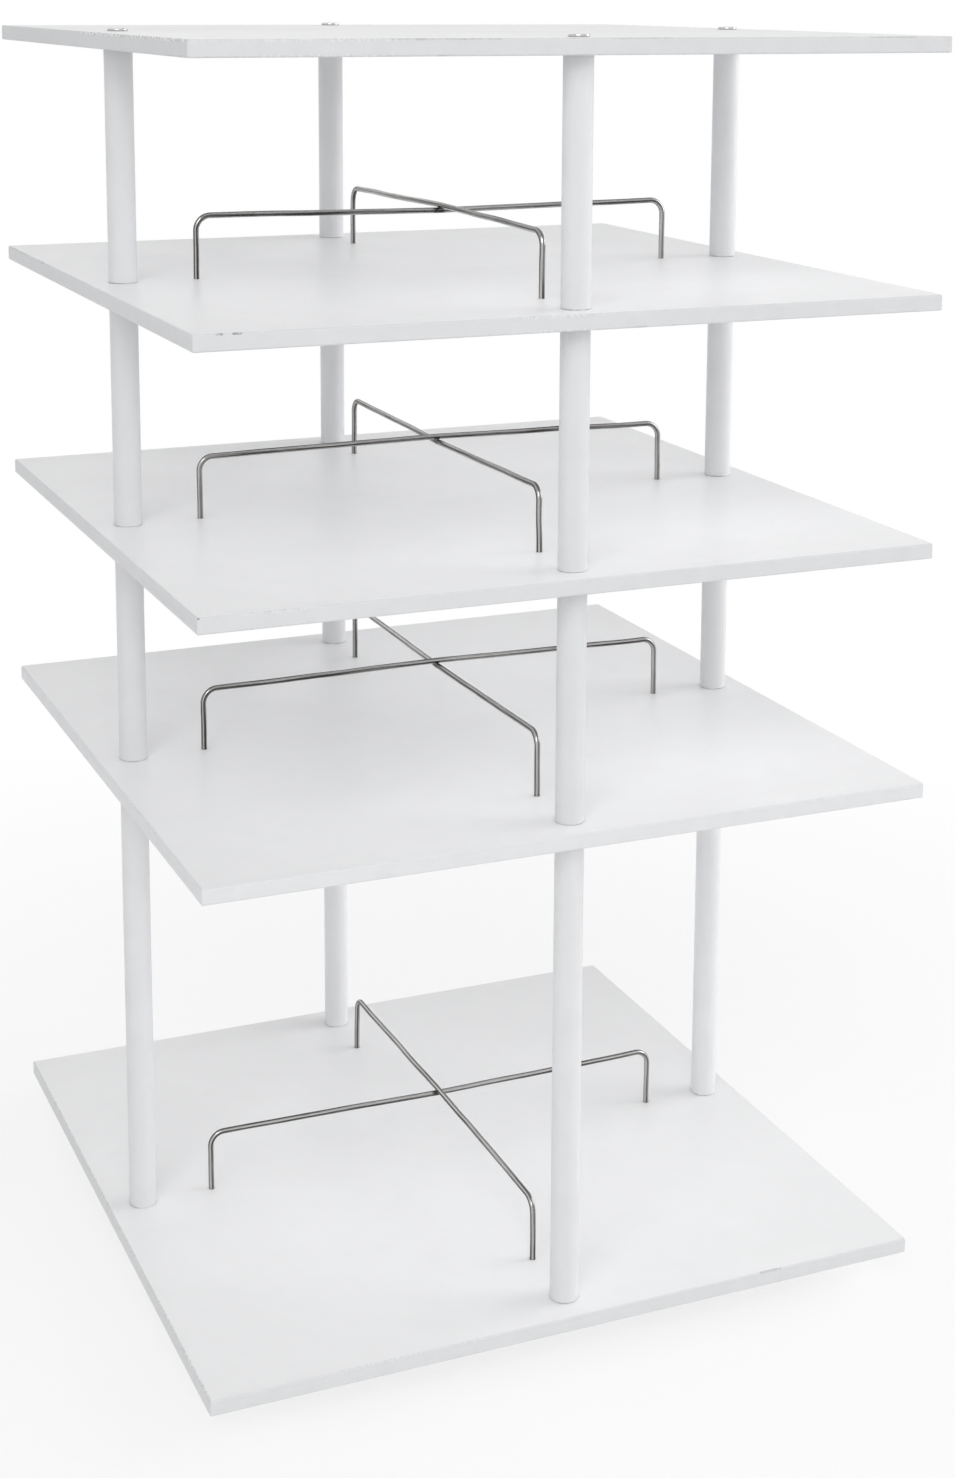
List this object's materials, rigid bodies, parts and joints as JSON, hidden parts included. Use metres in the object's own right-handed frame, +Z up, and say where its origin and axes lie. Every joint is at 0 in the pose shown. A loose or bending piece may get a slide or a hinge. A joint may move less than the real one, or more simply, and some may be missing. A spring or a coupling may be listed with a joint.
{
  "type": "rotating shoe tower",
  "caption": "Square white shelf tower for shoes on round posts, with crossed wire hoops that divide each shelf and a low turntable base on a ball bearing.",
  "frame": {"origin": "on the floor, below the axis that the tower turns about", "axes": "+Z up along the turning axis; +X and +Y along the sides of the square shelves at rest"},
  "size_m": [0.61, 0.61, 1.0483],
  "materials": {
    "shelf_lacquer": "satin white lacquer on fibreboard",
    "post_lacquer": "satin white lacquer on a turned dowel",
    "hoop_wire": "drawn steel wire with a satin nickel plate",
    "nickel_plated_steel": "nickel plate",
    "zinc_plated_steel": "zinc plate",
    "bearing_sheet": "galvanised pressed sheet",
    "ball_steel": "polished and greased",
    "cage_plastic": "moulded, natural",
    "base_lacquer": "satin white lacquer on fibreboard",
    "foot_rubber": "matt"
  },
  "bodies": {
    "base": {"lower_bearing_plate": "bearing_sheet", "lower_plate_screws": "zinc_plated_steel", "base_board": "base_lacquer", "feet": "foot_rubber", "foot_screws": "zinc_plated_steel"},
    "ball_ring": {"bearing_balls": "ball_steel", "ball_cage": "cage_plastic"},
    "tower": {"top_shelf": "shelf_lacquer", "upper_shelf": "shelf_lacquer", "middle_shelf": "shelf_lacquer", "lower_shelf": "shelf_lacquer", "bottom_shelf": "shelf_lacquer", "tier_1_front_post": "post_lacquer", "tier_1_right_post": "post_lacquer", "tier_1_back_post": "post_lacquer", "tier_1_left_post": "post_lacquer", "tier_1_post_inserts": "zinc_plated_steel", "tier_1_front_to_back_hoop": "hoop_wire", "tier_1_side_to_side_hoop": "hoop_wire", "tier_2_front_post": "post_lacquer", "tier_2_right_post": "post_lacquer", "tier_2_back_post": "post_lacquer", "tier_2_left_post": "post_lacquer", "tier_2_post_inserts": "zinc_plated_steel", "tier_2_front_to_back_hoop": "hoop_wire", "tier_2_side_to_side_hoop": "hoop_wire", "tier_3_front_post": "post_lacquer", "tier_3_right_post": "post_lacquer", "tier_3_back_post": "post_lacquer", "tier_3_left_post": "post_lacquer", "tier_3_post_inserts": "zinc_plated_steel", "tier_3_front_to_back_hoop": "hoop_wire", "tier_3_side_to_side_hoop": "hoop_wire", "boot_tier_front_post": "post_lacquer", "boot_tier_right_post": "post_lacquer", "boot_tier_back_post": "post_lacquer", "boot_tier_left_post": "post_lacquer", "boot_tier_post_inserts": "zinc_plated_steel", "boot_tier_front_to_back_hoop": "hoop_wire", "boot_tier_side_to_side_hoop": "hoop_wire", "upper_shelf_studs": "zinc_plated_steel", "middle_shelf_studs": "zinc_plated_steel", "lower_shelf_studs": "zinc_plated_steel", "top_shelf_bolts": "nickel_plated_steel", "bottom_shelf_bolts": "nickel_plated_steel", "upper_bearing_plate": "bearing_sheet", "bearing_retaining_ring": "bearing_sheet", "retaining_ring_rivets": "bearing_sheet", "upper_plate_screws": "zinc_plated_steel"}
  },
  "joints": [
    {"name": "tower_turn", "type": "hinge", "parent": "base", "child": "tower", "pos_m": [0, 0, 0.02345], "axis": [0, 0, 1], "continuous": true},
    {"name": "ball_ring_turn", "type": "hinge", "parent": "base", "child": "ball_ring", "pos_m": [0, 0, 0.02345], "axis": [0, 0, 1], "continuous": true}
  ],
  "couplings": [
    {"joint": "ball_ring_turn", "follows": "tower_turn", "ratio": 0.5}
  ]
}
